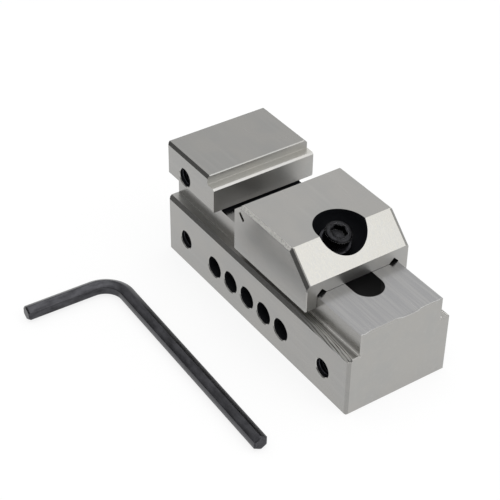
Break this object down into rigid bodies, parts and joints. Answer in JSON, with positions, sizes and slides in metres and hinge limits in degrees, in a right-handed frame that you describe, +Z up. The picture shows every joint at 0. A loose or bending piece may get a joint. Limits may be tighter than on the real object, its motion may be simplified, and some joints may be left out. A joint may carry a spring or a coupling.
{
  "type": "screwless vise",
  "caption": "Screwless toolmaker's vise: a jaw slides on a slotted rail and a tilted socket screw pulls it forward and down on a cross bar; hex key beside it.",
  "frame": {"origin": "middle of the vise's base, on the surface that it stands on", "axes": "+X from the fixed jaw towards the open end, +Z up, the key on the -Y side"},
  "size_m": [0.064, 0.0629, 0.0278],
  "materials": {
    "ground_steel": "surface ground, satin",
    "black_oxide_steel": "black oxide, oiled",
    "bar_steel": "turned",
    "spring_steel": "drawn wire"
  },
  "bodies": {
    "body": {"vise_body": "ground_steel"},
    "jaw": {"moving_jaw": "ground_steel"},
    "swing": {"spherical_washer": "black_oxide_steel"},
    "screw": {"clamp_screw": "black_oxide_steel"},
    "bar": {"pull_bar": "bar_steel", "bar_spring": "spring_steel"},
    "key": {"hex_key": "black_oxide_steel"}
  },
  "joints": [
    {"name": "jaw_slide", "type": "slide", "parent": "body", "child": "jaw", "axis": [1, 0, 0], "range_m": [-0.00735, 0.0115]},
    {"name": "screw_swing", "type": "hinge", "parent": "jaw", "child": "swing", "pos_m": [0.0113, 0, 0.026], "axis": [0, 1, 0], "range_deg": [0, 8]},
    {"name": "screw_turn", "type": "hinge", "parent": "swing", "child": "screw", "pos_m": [0.0113, 0, 0.026], "axis": [-0.3408, 0, -0.9401], "range_deg": [0, 720]},
    {"name": "bar_travel", "type": "slide", "parent": "swing", "child": "bar", "axis": [0.3408, 0, 0.9401], "range_m": [0, 0.001], "deforming": ["bar_spring"]},
    {"name": "key_lift", "type": "slide", "parent": "body", "child": "key", "axis": [0, 0, 1], "range_m": [0, 0.05]}
  ],
  "couplings": [
    {"joint": "screw_turn", "follows": "bar_travel", "rad_per_m": 12566}
  ]
}
